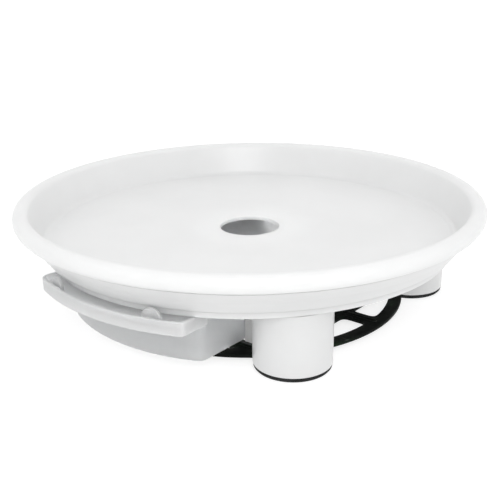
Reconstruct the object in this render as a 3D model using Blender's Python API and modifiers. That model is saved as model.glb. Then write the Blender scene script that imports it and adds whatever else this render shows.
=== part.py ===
"""Round drain tray on four legs, with a pull-out collecting drawer and a black base frame.

Metres, +Z up. The origin is on the tray's axis, on the surface that the feet stand on.
The drawer pulls out towards -Y.
"""
import math

import bmesh
import bpy
from mathutils import Vector

# ---------------------------------------------------------------- driving dimensions
GAP = 0.0003                # clearance between neighbouring pieces

RIM_RADIUS = 0.200          # outermost radius of the tray
ROLL_RADIUS = 0.007         # section radius of the rolled rim
ROLL_Z = 0.0867             # height of the roll's centre
ROLL_START = 157.8          # degrees round the roll where the inner wall runs into it
ROLL_END = -76.0            # degrees round the roll where it stops above the skirt
FLOOR_Z = 0.0635            # upper face of the tray floor
FLOOR_RADIUS = 0.176        # where the floor would meet the inner wall
FLOOR_FILLET = 0.005
TRAY_WALL = 0.0026
DRAIN_RADIUS = 0.0257
LIP_BOTTOM = 0.0601         # lower end of the lip round the drain
TRAY_STEPS = 48

SKIRT_TOP_RADIUS = 0.1943   # under the roll
SKIRT_TOP_Z = 0.0794
SKIRT_WAIST = (0.1853, 0.0692)
LEDGE = (0.1784, 0.0597)    # step between the skirt and the lower band
BAND_TOP = (0.1746, 0.0581)
BAND_BOTTOM_RADIUS = 0.1739
BAND_BOTTOM_Z = 0.0526
DECK_TOP = 0.0572
DECK_BOTTOM = 0.0546
DECK_HOLE_RADIUS = 0.050
STOP_INNER_X = 0.041        # ribs under the deck that catch the drawer's rear wall
STOP_OUTER_X = 0.062
STOP_THICKNESS = 0.0028
STOP_BOTTOM = 0.0445

LEG_CIRCLE = 0.1435         # distance of the leg axes from the tray axis
FRONT_LEG_ANGLE = 51.8      # degrees of the front leg axes from the drawer's centre line
REAR_LEG_ANGLE = 47.0       # degrees of the rear leg axes from that line's far end
LEG_RADIUS = 0.0304
LEG_WALL = 0.0028
LEG_BOTTOM = 0.0036
LEG_SHOULDER = 0.0523
LEG_TOP = 0.0543
SPIGOT_RADIUS = 0.027
BOSS_RADIUS = 0.0056
BOSS_BOTTOM = 0.0060
BOLT_HOLE_RADIUS = 0.0028
LEG_STEPS = 24

PAD_RADIUS = 0.0296
PAD_RIM_INNER = 0.0265
PAD_RIM_TOP = 0.0033
PAD_FLOOR = 0.0020
PAD_HOLE_RADIUS = 0.008

BOLT_RADIUS = 0.0025
BOLT_HEAD_RADIUS = 0.0065
BOLT_HEAD_BOTTOM = 0.0004
BOLT_TOP = 0.0604
NUT_RADIUS = 0.0046
NUT_HEIGHT = 0.0028

FRAME_Z = 0.0039            # middle height of the base frame
FRAME_THICKNESS = 0.0030
RING_OUTER = 0.1343
RING_INNER = 0.1232
BAR_WIDTH = 0.014
CROSS_BARS_Y = (-0.0940, 0.0979)
SIDE_BAR_X = 0.0938
SPOKE_WIDTH = 0.0135
SIDE_SPOKE_Y = 0.0047
LUG_RADIUS = 0.0258
RIB_WIDTH = 0.0034
RIB_HEIGHT = 0.0012

DRAWER_HALF_WIDTH = 0.0704
DRAWER_FRONT_RADIUS = 0.158
DRAWER_BACK_Y = 0.118
DRAWER_CORNER = 0.009
DRAWER_BOTTOM = 0.0088
DRAWER_TOP = 0.0470
DRAWER_WALL = 0.0022
DRAWER_FLOOR = 0.0024
FLANGE_REACH = 0.0033
FLANGE_THICKNESS = 0.0022
FLANGE_FRONT_Y = -0.092
TRAVEL = 0.150              # how far the drawer pulls out

HANDLE_RADIUS = 0.1866
HANDLE_HALF_WIDTH = 0.0743
HANDLE_TURN = 1.25          # degrees that the handle sits to the right of the drawer's centre line
HANDLE_CORNER = 0.0065
HANDLE_WALL = 0.0028
HANDLE_BACK_GAP = 0.0030    # from the handle's rear face to its pocket
HANDLE_BOTTOM = 0.0422
HANDLE_FLOOR_TOP = 0.0485
HANDLE_TOP = 0.0534
HANDLE_BACK_TOP = 0.0518
HANDLE_STEP_RADIUS = 0.177
HOOK_HALF_WIDTH = 0.055
HOOK_INNER_RADIUS = 0.153
HOOK_TOP = 0.0496
HOOK_BOTTOM = 0.0440

TAB_RADIUS = 0.0077
TAB_THICKNESS = 0.0028
TAB_CENTRE_Z = 0.0524
TAB_ANGLE = 15.75           # degrees of each tab from the handle's middle

RUNNER_INNER_X = 0.0711
RUNNER_OUTER_X = 0.0820
RUNNER_FRONT_Y = -0.094
RUNNER_BACK_Y = 0.074
RUNNER_BOTTOM = 0.0088
RUNNER_TOP = 0.0543
GROOVE_BOTTOM = 0.0444
GROOVE_TOP = 0.0476
GROOVE_X = 0.0746
SCREWS_Y = {"front": -0.070, "rear": 0.050}
SCREW_RADIUS = 0.0015
SCREW_HEAD_RADIUS = 0.0031
SCREW_HEAD_HEIGHT = 0.0019
SCREW_BOTTOM = 0.0492
SCREW_HOLE_RADIUS = 0.0018
SCREW_HOLE_BOTTOM = 0.0486

COLOURS = {
    "white_plastic": ((0.86, 0.87, 0.87), 0.32, 0.0),
    "frosted_plastic": ((0.62, 0.64, 0.65), 0.42, 0.0),
    "black_plastic": ((0.012, 0.016, 0.013), 0.45, 0.0),
    "grey_rubber": ((0.10, 0.10, 0.105), 0.75, 0.0),
    "zinc_steel": ((0.55, 0.56, 0.58), 0.35, 1.0),
}


# ---------------------------------------------------------------- scene helpers
def clear_scene():
    for obj in list(bpy.data.objects):
        bpy.data.objects.remove(obj, do_unlink=True)


def new_collection(name):
    collection = bpy.data.collections.new(name)
    bpy.context.scene.collection.children.link(collection)
    return collection


clear_scene()
PARTS = new_collection("round_drain_tray")
CUTTERS = new_collection("cutters")


def make_material(name):
    colour, roughness, metallic = COLOURS[name]
    material = bpy.data.materials.new(name)
    material.use_nodes = True
    shader = material.node_tree.nodes["Principled BSDF"]
    shader.inputs["Base Color"].default_value = (*colour, 1.0)
    shader.inputs["Roughness"].default_value = roughness
    shader.inputs["Metallic"].default_value = metallic
    return material


MATERIALS = {name: make_material(name) for name in COLOURS}


def add_part(name, mesh, material, parent=None):
    obj = bpy.data.objects.new(name, mesh)
    obj.data.materials.clear()
    obj.data.materials.append(MATERIALS[material])
    PARTS.objects.link(obj)
    obj.parent = parent
    return obj


def add_empty(name, parent=None):
    empty = bpy.data.objects.new(name, None)
    PARTS.objects.link(empty)
    empty.parent = parent
    return empty


def add_cutter(name, mesh, parent=None):
    obj = bpy.data.objects.new(name, mesh)
    CUTTERS.objects.link(obj)
    obj.parent = parent
    obj.hide_render = True
    obj.display_type = "WIRE"
    return obj


def combine(obj, other, operation):
    modifier = obj.modifiers.new(operation.lower() + "_" + other.name, "BOOLEAN")
    modifier.operation = operation
    modifier.object = other
    modifier.solver = "EXACT"


def bevel(obj, width, segments=2, angle=40.0):
    modifier = obj.modifiers.new("edges", "BEVEL")
    modifier.width = width
    modifier.segments = segments
    modifier.limit_method = "ANGLE"
    modifier.angle_limit = math.radians(angle)
    modifier.harden_normals = False


# ---------------------------------------------------------------- shape helpers
def arc(centre, radius, start, end, count):
    """Points of an arc; angles in degrees, counted from +X."""
    points = []
    for index in range(count + 1):
        angle = math.radians(start + (end - start) * index / count)
        points.append((centre[0] + radius * math.cos(angle), centre[1] + radius * math.sin(angle)))
    return points


def offset_right(points, distance):
    """An open path moved by distance to the right of its direction, with mitred corners."""
    moved = []
    last = len(points) - 1
    for index, point in enumerate(points):
        before = Vector(points[max(index - 1, 0)])
        after = Vector(points[min(index + 1, last)])
        here = Vector(point)
        into = (here - before).normalized() if index > 0 else (after - here).normalized()
        out = (after - here).normalized() if index < last else into
        tangent = (into + out).normalized()
        normal = Vector((tangent.y, -tangent.x))
        stretch = 1.0 / max(normal.dot(Vector((into.y, -into.x))), 0.5)
        moved.append(tuple(here + normal * distance * stretch))
    return moved


def turned(name, profile, steps, smooth_angle=35.0):
    """Mesh of a closed (radius, height) profile turned round +Z; the profile runs clockwise."""
    mesh = bpy.data.meshes.new(name)
    count = len(profile)
    vertices = [(radius, 0.0, height) for radius, height in profile]
    edges = [(index, (index + 1) % count) for index in range(count)]
    mesh.from_pydata(vertices, edges, [])
    obj = bpy.data.objects.new(name + "_profile", mesh)
    bpy.context.scene.collection.objects.link(obj)
    screw = obj.modifiers.new("turn", "SCREW")
    screw.axis = "Z"
    screw.angle = math.tau
    screw.steps = steps
    screw.render_steps = steps
    screw.use_merge_vertices = True
    screw.merge_threshold = 0.00001
    result = evaluated_mesh(obj, name)
    bpy.data.objects.remove(obj, do_unlink=True)
    result.shade_smooth()
    result.set_sharp_from_angle(angle=math.radians(smooth_angle))
    return result


def evaluated_mesh(obj, name):
    depsgraph = bpy.context.evaluated_depsgraph_get()
    depsgraph.update()
    mesh = bpy.data.meshes.new_from_object(obj.evaluated_get(depsgraph))
    mesh.name = name
    return mesh


def solid_turned(name, profile, steps, smooth_angle=35.0):
    """Turned mesh whose profile starts and ends on the axis; the profile runs from top to bottom."""
    mesh = bpy.data.meshes.new(name)
    bm = bmesh.new()
    top = bm.verts.new((0.0, 0.0, profile[0][1]))
    bottom = bm.verts.new((0.0, 0.0, profile[-1][1]))
    rings = []
    for radius, height in profile[1:-1]:
        ring = []
        for step in range(steps):
            angle = math.tau * step / steps
            ring.append(bm.verts.new((radius * math.cos(angle), radius * math.sin(angle), height)))
        rings.append(ring)
    for step in range(steps):
        following = (step + 1) % steps
        bm.faces.new((top, rings[0][step], rings[0][following]))
        for upper, lower in zip(rings, rings[1:]):
            bm.faces.new((upper[step], lower[step], lower[following], upper[following]))
        bm.faces.new((rings[-1][step], bottom, rings[-1][following]))
    bm.to_mesh(mesh)
    bm.free()
    mesh.shade_smooth()
    mesh.set_sharp_from_angle(angle=math.radians(smooth_angle))
    return mesh


def cylinder(name, radius, low, high, x=0.0, y=0.0, sides=24):
    mesh = bpy.data.meshes.new(name)
    bm = bmesh.new()
    bmesh.ops.create_cone(bm, cap_ends=True, segments=sides, radius1=radius, radius2=radius,
                          depth=high - low)
    bmesh.ops.translate(bm, verts=bm.verts, vec=(x, y, (low + high) / 2))
    bm.to_mesh(mesh)
    bm.free()
    return mesh


def box(name, low, high):
    mesh = bpy.data.meshes.new(name)
    bm = bmesh.new()
    bmesh.ops.create_cube(bm, size=1.0)
    size = [b - a for a, b in zip(low, high)]
    middle = [(a + b) / 2 for a, b in zip(low, high)]
    bmesh.ops.scale(bm, verts=bm.verts, vec=size)
    bmesh.ops.translate(bm, verts=bm.verts, vec=middle)
    bm.to_mesh(mesh)
    bm.free()
    return mesh


def prism(name, outline, low, high):
    """Solid between two heights over a closed outline that runs anticlockwise."""
    mesh = bpy.data.meshes.new(name)
    bm = bmesh.new()
    base = [bm.verts.new((x, y, low)) for x, y in outline]
    face = bm.faces.new(base)
    raised = bmesh.ops.extrude_face_region(bm, geom=[face])
    top = [item for item in raised["geom"] if isinstance(item, bmesh.types.BMVert)]
    bmesh.ops.translate(bm, verts=top, vec=(0.0, 0.0, high - low))
    bmesh.ops.recalc_face_normals(bm, faces=bm.faces)
    bm.to_mesh(mesh)
    bm.free()
    return mesh


def arc_band(inner, outer, half_width, count=20):
    """Outline between two arcs about the origin that face -Y, cut off at x = +-half_width."""
    outer_angle = math.degrees(math.asin(half_width / outer))
    inner_angle = math.degrees(math.asin(half_width / inner))
    front = arc((0.0, 0.0), outer, -90.0 - outer_angle, -90.0 + outer_angle, count)
    back = arc((0.0, 0.0), inner, -90.0 + inner_angle, -90.0 - inner_angle, count)
    return front + back


def leg_places():
    """Axis of each leg, named as seen from the drawer's side."""
    places = {}
    for end, angle, direction in (("front", FRONT_LEG_ANGLE, -1), ("rear", REAR_LEG_ANGLE, 1)):
        side = LEG_CIRCLE * math.sin(math.radians(angle))
        depth = LEG_CIRCLE * math.cos(math.radians(angle))
        places[end + "_left"] = (-side, direction * depth)
        places[end + "_right"] = (side, direction * depth)
    return places


LEGS = leg_places()


# ---------------------------------------------------------------- tray and base
def tray_path():
    """Upper face of the tray from the drain, over the floor and wall, round the rolled rim."""
    centre = (RIM_RADIUS - ROLL_RADIUS, ROLL_Z)
    roll = arc(centre, ROLL_RADIUS, ROLL_START, 0.0, 7)
    roll += arc(centre, ROLL_RADIUS, 0.0, ROLL_END, 4)[1:]
    slope = math.atan2(roll[0][1] - FLOOR_Z, roll[0][0] - FLOOR_RADIUS)
    reach = FLOOR_FILLET * math.tan(slope / 2)
    fillet_centre = (FLOOR_RADIUS - reach, FLOOR_Z + FLOOR_FILLET)
    fillet = arc(fillet_centre, FLOOR_FILLET, -90.0, -90.0 + math.degrees(slope), 3)
    edge = 0.0008
    drain = [(DRAIN_RADIUS, LIP_BOTTOM), (DRAIN_RADIUS, FLOOR_Z - edge),
             (DRAIN_RADIUS + edge, FLOOR_Z)]
    return drain + fillet + roll


def make_tray():
    path = tray_path()
    under = offset_right(path, TRAY_WALL)
    mesh = turned("tray", path + under[::-1], TRAY_STEPS)
    return add_part("tray", mesh, "white_plastic")


def base_profile():
    """Section of the base: skirt, ledge, lower band and the deck that joins them."""
    skirt_wall = 0.0022
    outer = [(SKIRT_TOP_RADIUS, SKIRT_TOP_Z), SKIRT_WAIST, LEDGE, (LEDGE[0] - 0.003, LEDGE[1] - 0.0008),
             BAND_TOP, (BAND_BOTTOM_RADIUS, BAND_BOTTOM_Z + 0.001),
             (BAND_BOTTOM_RADIUS - 0.001, BAND_BOTTOM_Z),
             (BAND_BOTTOM_RADIUS - 0.0024, BAND_BOTTOM_Z + 0.0008)]
    deck = [(BAND_BOTTOM_RADIUS - 0.0024, DECK_BOTTOM), (DECK_HOLE_RADIUS, DECK_BOTTOM),
            (DECK_HOLE_RADIUS, DECK_TOP), (0.1728, DECK_TOP)]
    inner = [(0.1746, 0.0603), (0.1793, 0.0636), (SKIRT_WAIST[0] - skirt_wall * 1.3, SKIRT_WAIST[1]),
             (SKIRT_TOP_RADIUS - skirt_wall * 1.3, SKIRT_TOP_Z)]
    return outer + deck + inner


def make_base():
    base = add_part("base_shell", turned("base_shell", base_profile(), TRAY_STEPS), "white_plastic")
    stop_back = DRAWER_BACK_Y - DRAWER_WALL - TRAVEL - GAP
    inside_deck = (DECK_BOTTOM + DECK_TOP) / 2
    for side, sign in (("left", -1), ("right", 1)):
        ends = sorted((sign * STOP_INNER_X, sign * STOP_OUTER_X))
        rib = box("stop_rib_" + side, (ends[0], stop_back - STOP_THICKNESS, STOP_BOTTOM),
                  (ends[1], stop_back, inside_deck))
        combine(base, add_cutter("stop_rib_" + side, rib), "UNION")
    for place, (x, y) in LEGS.items():
        hole = cylinder("bolt_hole_" + place, BOLT_HOLE_RADIUS, 0.050, 0.062, x, y)
        combine(base, add_cutter("bolt_hole_" + place, hole), "DIFFERENCE")
    for name, (x, y) in screw_places().items():
        hole = cylinder("hole_" + name, SCREW_HOLE_RADIUS, 0.050, 0.062, x, y, sides=16)
        combine(base, add_cutter("hole_" + name, hole), "DIFFERENCE")
    return base


# ---------------------------------------------------------------- base frame
def bar_cutters(name, low, high, clearance):
    """Cross bars, side bars, spokes and the ribs on the side spokes, as boxes."""
    step = 0.0001
    half = BAR_WIDTH / 2 + clearance
    spoke = SPOKE_WIDTH / 2 + clearance
    reach = (RING_INNER + RING_OUTER) / 2
    pieces = {}
    for end, y in zip(("front", "rear"), CROSS_BARS_Y):
        side = LEGS[end + "_right"][0]
        pieces["cross_bar_" + end] = box(name, (-side, y - half, low + step),
                                         (side, y + half, high - step))
        ends = sorted((y, math.copysign(reach, y)))
        pieces["spoke_" + end] = box(name, (-spoke, ends[0], low + 3 * step),
                                     (spoke, ends[1], high - 3 * step))
    front = LEGS["front_right"][1]
    back = LEGS["rear_right"][1]
    for end, sign in (("left", -1), ("right", 1)):
        x = sign * SIDE_BAR_X
        pieces["side_bar_" + end] = box(name, (x - half, front, low + 2 * step),
                                        (x + half, back, high - 2 * step))
        ends = sorted((x, sign * reach))
        pieces["spoke_" + end] = box(name, (ends[0], SIDE_SPOKE_Y - spoke, low + 3 * step),
                                     (ends[1], SIDE_SPOKE_Y + spoke, high - 3 * step))
        pieces["rib_" + end] = box(name, (ends[0], SIDE_SPOKE_Y - RIB_WIDTH / 2, low + 5 * step),
                                   (ends[1], SIDE_SPOKE_Y + RIB_WIDTH / 2, high + RIB_HEIGHT))
    return pieces


def frame_solid(name, clearance, place):
    """Ring, bars, spokes and foot lugs of the base frame, each grown by clearance."""
    low = FRAME_Z - FRAME_THICKNESS / 2 - clearance
    high = FRAME_Z + FRAME_THICKNESS / 2 + clearance
    ring_profile = [(RING_INNER - clearance, high), (RING_OUTER + clearance, high),
                    (RING_OUTER + clearance, low), (RING_INNER - clearance, low)]
    frame = place(name, turned(name, ring_profile, TRAY_STEPS))
    pieces = bar_cutters(name, low, high, clearance)
    lug_edge = 0.0001
    for leg, (x, y) in LEGS.items():
        pieces["lug_" + leg] = cylinder(name, LUG_RADIUS + clearance, low - lug_edge,
                                        high + lug_edge, x, y)
    for piece, mesh in pieces.items():
        combine(frame, add_cutter(name + "_" + piece, mesh), "UNION")
    return frame


def make_frame():
    def place_black(name, mesh):
        return add_part(name, mesh, "black_plastic")

    frame = frame_solid("base_frame", 0.0, place_black)
    for place, (x, y) in LEGS.items():
        hole = cylinder("lug_hole_" + place, BOLT_HOLE_RADIUS, 0.0, 0.010, x, y)
        combine(frame, add_cutter("lug_hole_" + place, hole), "DIFFERENCE")
    return frame


# ---------------------------------------------------------------- legs
def leg_profile():
    """Section of a hollow leg with a shoulder, a spigot and a central boss for the bolt."""
    edge = 0.0006
    roof = LEG_TOP - LEG_WALL
    return [(SPIGOT_RADIUS, LEG_TOP), (SPIGOT_RADIUS, LEG_SHOULDER), (LEG_RADIUS - edge, LEG_SHOULDER),
            (LEG_RADIUS, LEG_SHOULDER - edge), (LEG_RADIUS - 0.0003, LEG_BOTTOM),
            (LEG_RADIUS - LEG_WALL, LEG_BOTTOM), (LEG_RADIUS - LEG_WALL, LEG_SHOULDER - LEG_WALL),
            (SPIGOT_RADIUS - LEG_WALL, roof), (BOSS_RADIUS, roof), (BOSS_RADIUS, BOSS_BOTTOM),
            (BOLT_HOLE_RADIUS, BOSS_BOTTOM), (BOLT_HOLE_RADIUS, LEG_TOP)]


def make_legs(frame_clearance):
    for place, (x, y) in LEGS.items():
        mesh = turned("leg_" + place, leg_profile(), LEG_STEPS)
        leg = add_part("leg_" + place, mesh, "white_plastic")
        leg.location = (x, y, 0.0)
        combine(leg, frame_clearance, "DIFFERENCE")


def pad_profile():
    """Section of a foot pad: a rubber cup that caps the leg, open in the middle for the bolt head."""
    edge = 0.0005
    return [(PAD_RIM_INNER, PAD_RIM_TOP), (PAD_RADIUS, PAD_RIM_TOP), (PAD_RADIUS, edge),
            (PAD_RADIUS - edge, 0.0), (PAD_HOLE_RADIUS, 0.0), (PAD_HOLE_RADIUS, PAD_FLOOR),
            (PAD_RIM_INNER, PAD_FLOOR)]


def make_pads(frame_clearance):
    for place, (x, y) in LEGS.items():
        mesh = turned("foot_pad_" + place, pad_profile(), LEG_STEPS)
        pad = add_part("foot_pad_" + place, mesh, "grey_rubber")
        pad.location = (x, y, 0.0)
        combine(pad, frame_clearance, "DIFFERENCE")


def make_bolts():
    head_top = PAD_FLOOR
    crown = 0.0005
    profile = [(0.0, BOLT_TOP), (BOLT_RADIUS - crown, BOLT_TOP), (BOLT_RADIUS, BOLT_TOP - crown),
               (BOLT_RADIUS, head_top), (BOLT_HEAD_RADIUS, head_top),
               (BOLT_HEAD_RADIUS, BOLT_HEAD_BOTTOM + crown),
               (BOLT_HEAD_RADIUS - 2 * crown, BOLT_HEAD_BOTTOM), (0.0, BOLT_HEAD_BOTTOM)]
    nut_low = DECK_TOP + GAP
    for place, (x, y) in LEGS.items():
        bolt_mesh = solid_turned("leg_bolt_" + place, profile, 12)
        bolt = add_part("leg_bolt_" + place, bolt_mesh, "zinc_steel")
        bolt.location = (x, y, 0.0)
        nut_mesh = cylinder("leg_nut_" + place, NUT_RADIUS, nut_low, nut_low + NUT_HEIGHT, sides=6)
        nut = add_part("leg_nut_" + place, nut_mesh, "zinc_steel")
        nut.location = (x, y, 0.0)
        thread = cylinder("thread_" + place, BOLT_HOLE_RADIUS, 0.050, 0.065, x, y, 12)
        combine(nut, add_cutter("thread_" + place, thread), "DIFFERENCE")


# ---------------------------------------------------------------- runners
def screw_places():
    x = (RUNNER_INNER_X + RUNNER_OUTER_X) / 2
    places = {}
    for end, y in SCREWS_Y.items():
        places["runner_screw_" + end + "_left"] = (-x, y)
        places["runner_screw_" + end + "_right"] = (x, y)
    return places


def make_runner(name, side):
    """A rail with a groove that faces the drawer."""
    section = [(RUNNER_INNER_X, RUNNER_BOTTOM), (RUNNER_OUTER_X, RUNNER_BOTTOM),
               (RUNNER_OUTER_X, RUNNER_TOP), (RUNNER_INNER_X, RUNNER_TOP),
               (RUNNER_INNER_X, GROOVE_TOP), (GROOVE_X, GROOVE_TOP),
               (GROOVE_X, GROOVE_BOTTOM), (RUNNER_INNER_X, GROOVE_BOTTOM)]
    mesh = bpy.data.meshes.new(name)
    bm = bmesh.new()
    front = [bm.verts.new((side * x, RUNNER_FRONT_Y, z)) for x, z in section]
    face = bm.faces.new(front)
    raised = bmesh.ops.extrude_face_region(bm, geom=[face])
    back = [item for item in raised["geom"] if isinstance(item, bmesh.types.BMVert)]
    bmesh.ops.translate(bm, verts=back, vec=(0.0, RUNNER_BACK_Y - RUNNER_FRONT_Y, 0.0))
    bmesh.ops.recalc_face_normals(bm, faces=bm.faces)
    bm.to_mesh(mesh)
    bm.free()
    runner = add_part(name, mesh, "white_plastic")
    for screw, (x, y) in screw_places().items():
        if x * side > 0:
            hole = cylinder("pilot_" + screw, SCREW_HOLE_RADIUS, SCREW_HOLE_BOTTOM, 0.056, x, y, 16)
            combine(runner, add_cutter("pilot_" + screw, hole), "DIFFERENCE")
    return runner


def make_runner_screws():
    low = DECK_TOP + GAP
    crown = 0.0006
    profile = [(0.0, low + SCREW_HEAD_HEIGHT), (SCREW_HEAD_RADIUS - crown, low + SCREW_HEAD_HEIGHT),
               (SCREW_HEAD_RADIUS, low + SCREW_HEAD_HEIGHT - crown), (SCREW_HEAD_RADIUS, low),
               (SCREW_RADIUS, low), (SCREW_RADIUS, SCREW_BOTTOM + crown),
               (SCREW_RADIUS / 2, SCREW_BOTTOM), (0.0, SCREW_BOTTOM)]
    for name, (x, y) in screw_places().items():
        screw = add_part(name, solid_turned(name, profile, 12), "zinc_steel")
        screw.location = (x, y, 0.0)


# ---------------------------------------------------------------- drawer
def bow_front(radius, half_width, corner, count):
    """Left to right along a front that bows towards -Y, between straight sides, with rounded corners."""
    across = half_width - corner
    centre_y = -math.sqrt((radius - corner) ** 2 - across ** 2)
    lean = math.degrees(math.atan2(centre_y, across))
    points = arc((-across, centre_y), corner, 180.0, 180.0 - lean, 4)[:-1]
    points += arc((0.0, 0.0), radius, -180.0 - lean, lean, count)
    points += arc((across, centre_y), corner, lean, 0.0, 4)[1:]
    return points


def drawer_outline(inset):
    """Plan of the drawer, anticlockwise: a curved front, straight sides and rounded corners."""
    half = DRAWER_HALF_WIDTH - inset
    back = DRAWER_BACK_Y - inset
    corner = DRAWER_CORNER - inset
    points = bow_front(DRAWER_FRONT_RADIUS - inset, half, corner, 16)
    points += arc((half - corner, back - corner), corner, 0.0, 90.0, 4)
    points += arc((corner - half, back - corner), corner, 90.0, 180.0, 4)
    return points


def make_drawer(slide):
    mesh = prism("drawer_body", drawer_outline(0.0), DRAWER_BOTTOM, DRAWER_TOP)
    body = add_part("drawer_body", mesh, "frosted_plastic", slide)
    flange_low = DRAWER_TOP - FLANGE_THICKNESS
    reach = DRAWER_HALF_WIDTH + FLANGE_REACH
    flange = box("drawer_flange", (-reach, FLANGE_FRONT_Y, flange_low),
                 (reach, DRAWER_BACK_Y - DRAWER_CORNER, DRAWER_TOP + 0.0001))
    combine(body, add_cutter("drawer_flange", flange), "UNION")
    hollow = prism("drawer_hollow", drawer_outline(DRAWER_WALL), DRAWER_BOTTOM + DRAWER_FLOOR,
                   DRAWER_TOP + 0.01)
    combine(body, add_cutter("drawer_hollow", hollow), "DIFFERENCE")
    return body


def gutter_outline(inner, outer, half_width, corner):
    """Plan of the handle: a bowed front with rounded corners, and a concave back."""
    angle = math.degrees(math.asin(half_width / inner))
    return bow_front(outer, half_width, corner, 20) + arc((0.0, 0.0), inner, -90.0 + angle,
                                                          -90.0 - angle, 20)


def make_handle(seat):
    """Gutter-shaped grip hooked over the drawer's front wall."""
    slot = DRAWER_FRONT_RADIUS + GAP
    outline = gutter_outline(slot, HANDLE_RADIUS, HANDLE_HALF_WIDTH, HANDLE_CORNER)
    handle = add_part("drawer_handle", prism("drawer_handle", outline, HANDLE_BOTTOM, HANDLE_TOP),
                      "frosted_plastic", seat)
    bevel(handle, 0.0008, 2)
    well = gutter_outline(slot + HANDLE_BACK_GAP, HANDLE_RADIUS - HANDLE_WALL,
                          HANDLE_HALF_WIDTH - HANDLE_WALL, HANDLE_CORNER - HANDLE_WALL)
    pocket = prism("handle_pocket", well, HANDLE_FLOOR_TOP, HANDLE_TOP + 0.01)
    combine(handle, add_cutter("handle_pocket", pocket, seat), "DIFFERENCE")
    step = cylinder("handle_step", HANDLE_STEP_RADIUS, HANDLE_BACK_TOP, HANDLE_TOP + 0.01, sides=72)
    combine(handle, add_cutter("handle_step", step, seat), "DIFFERENCE")
    hook_top = arc_band(HOOK_INNER_RADIUS, slot + 0.0012, HOOK_HALF_WIDTH)
    top = prism("hook_top", hook_top, DRAWER_TOP + 0.0004, HOOK_TOP)
    combine(handle, add_cutter("hook_top", top, seat), "UNION")
    hook_inner = arc_band(HOOK_INNER_RADIUS + 0.0001, DRAWER_FRONT_RADIUS - DRAWER_WALL - GAP,
                          HOOK_HALF_WIDTH - 0.0001)
    inner = prism("hook_inner", hook_inner, HOOK_BOTTOM, HOOK_TOP - 0.0004)
    combine(handle, add_cutter("hook_inner", inner, seat), "UNION")
    return handle


def tab_outline():
    round_top = arc((0.0, TAB_CENTRE_Z), TAB_RADIUS, 0.0, 180.0, 12)
    foot = HANDLE_FLOOR_TOP + GAP
    return round_top + [(-TAB_RADIUS, foot), (TAB_RADIUS, foot)]


def make_tab(name, angle, seat):
    """Half-round tab that stands in the gutter just inside its outer wall."""
    mesh = bpy.data.meshes.new(name)
    bm = bmesh.new()
    outer = -(HANDLE_RADIUS - HANDLE_WALL - 0.0005)
    face = bm.faces.new([bm.verts.new((x, outer, z)) for x, z in tab_outline()])
    raised = bmesh.ops.extrude_face_region(bm, geom=[face])
    back = [item for item in raised["geom"] if isinstance(item, bmesh.types.BMVert)]
    bmesh.ops.translate(bm, verts=back, vec=(0.0, TAB_THICKNESS, 0.0))
    bmesh.ops.recalc_face_normals(bm, faces=bm.faces)
    bm.to_mesh(mesh)
    bm.free()
    tab = add_part(name, mesh, "frosted_plastic", seat)
    tab.rotation_euler = (0.0, 0.0, math.radians(angle))
    bevel(tab, 0.0005, 2)
    return tab


def main():
    slide = add_empty("drawer_slide")
    seat = add_empty("handle_seat", slide)
    seat.rotation_euler = (0.0, 0.0, math.radians(HANDLE_TURN))
    make_tray()
    make_base()
    make_frame()
    frame_clearance = frame_solid("frame_clearance", 0.0004, add_cutter)
    make_legs(frame_clearance)
    make_pads(frame_clearance)
    make_bolts()
    make_runner("runner_left", -1)
    make_runner("runner_right", 1)
    make_runner_screws()
    make_drawer(slide)
    make_handle(seat)
    make_tab("handle_tab_left", -TAB_ANGLE, seat)
    make_tab("handle_tab_right", TAB_ANGLE, seat)


main()
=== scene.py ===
"""Looks of the round drain tray on its stand: fine moulded surfaces, materials, light and camera.

Metres, in the frame's own axes: the origin is on the tray's axis at the feet, and the drawer pulls
out towards -Y. Places come from the frame's boxes and from the named sizes below.
"""
import math

import bmesh
import bpy
import numpy as np
from mathutils import Matrix, Vector


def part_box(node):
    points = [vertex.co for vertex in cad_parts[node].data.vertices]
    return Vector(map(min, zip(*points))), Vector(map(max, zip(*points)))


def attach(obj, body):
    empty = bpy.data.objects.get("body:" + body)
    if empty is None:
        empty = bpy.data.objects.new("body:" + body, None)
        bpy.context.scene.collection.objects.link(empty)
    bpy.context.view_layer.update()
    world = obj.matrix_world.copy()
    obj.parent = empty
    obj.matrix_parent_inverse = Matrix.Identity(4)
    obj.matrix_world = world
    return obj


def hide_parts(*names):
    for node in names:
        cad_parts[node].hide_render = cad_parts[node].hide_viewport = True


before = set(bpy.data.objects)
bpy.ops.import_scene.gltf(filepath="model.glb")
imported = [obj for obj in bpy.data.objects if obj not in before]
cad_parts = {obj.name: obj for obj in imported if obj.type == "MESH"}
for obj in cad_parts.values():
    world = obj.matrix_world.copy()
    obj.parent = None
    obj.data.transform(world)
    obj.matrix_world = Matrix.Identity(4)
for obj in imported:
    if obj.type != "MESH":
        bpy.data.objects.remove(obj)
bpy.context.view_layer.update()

# ---------------------------------------------------------------- sizes read from the frame
RIM_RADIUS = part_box("tray")[1].x
RIM_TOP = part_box("tray")[1].z
LIP_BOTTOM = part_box("tray")[0].z
DRAWER_LOW, DRAWER_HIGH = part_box("drawer_body")
HANDLE_LOW, HANDLE_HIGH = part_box("drawer_handle")
LEG_LOW, LEG_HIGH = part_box("leg_front_right")
PAD_LOW, PAD_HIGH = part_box("foot_pad_front_right")
FRAME_LOW, FRAME_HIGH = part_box("base_frame")
CORNERS = ("front_left", "front_right", "rear_left", "rear_right")


def middle_of(node):
    """Middle of a CAD node's box."""
    low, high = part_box(node)
    return (low + high) / 2


LEGS = {corner: middle_of("leg_bolt_" + corner) for corner in CORNERS}

# ---------------------------------------------------------------- sizes of the fine surfaces
FINE_STEPS = 256            # steps round the tray and the base
LEG_STEPS = 96
BOLT_STEPS = 48

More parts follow.
